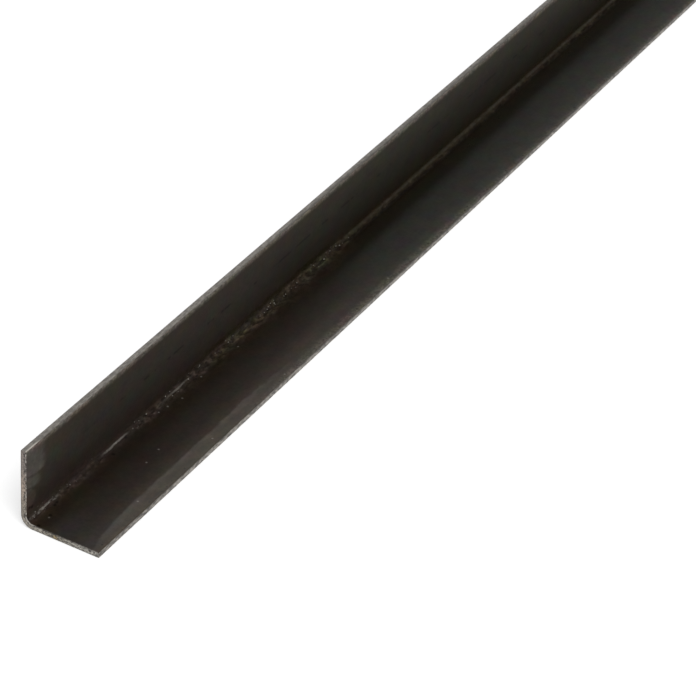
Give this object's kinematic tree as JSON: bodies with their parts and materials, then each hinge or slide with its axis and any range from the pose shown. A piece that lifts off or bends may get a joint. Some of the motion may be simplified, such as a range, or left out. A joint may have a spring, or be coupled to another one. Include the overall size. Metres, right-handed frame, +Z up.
{
  "type": "steel equal angle section",
  "caption": "Straight length of thin steel angle with a rounded bend, for edging, bracing and light frames.",
  "frame": {"origin": "on the ground under the middle of the bar's bounding box: the underside of the flat leg, half-way along and half-way across", "axes": "+X along the bar, +Y from the flat leg's toe towards the back of the upright leg, +Z up along the upright leg"},
  "size_m": [1, 0.02, 0.02],
  "materials": {
    "rolled_steel": "satin, dark brown-black rolled oxide, bare grey at the cut ends and slit toes"
  },
  "bodies": {
    "root": {"angle_bar": "rolled_steel"}
  },
  "joints": []
}
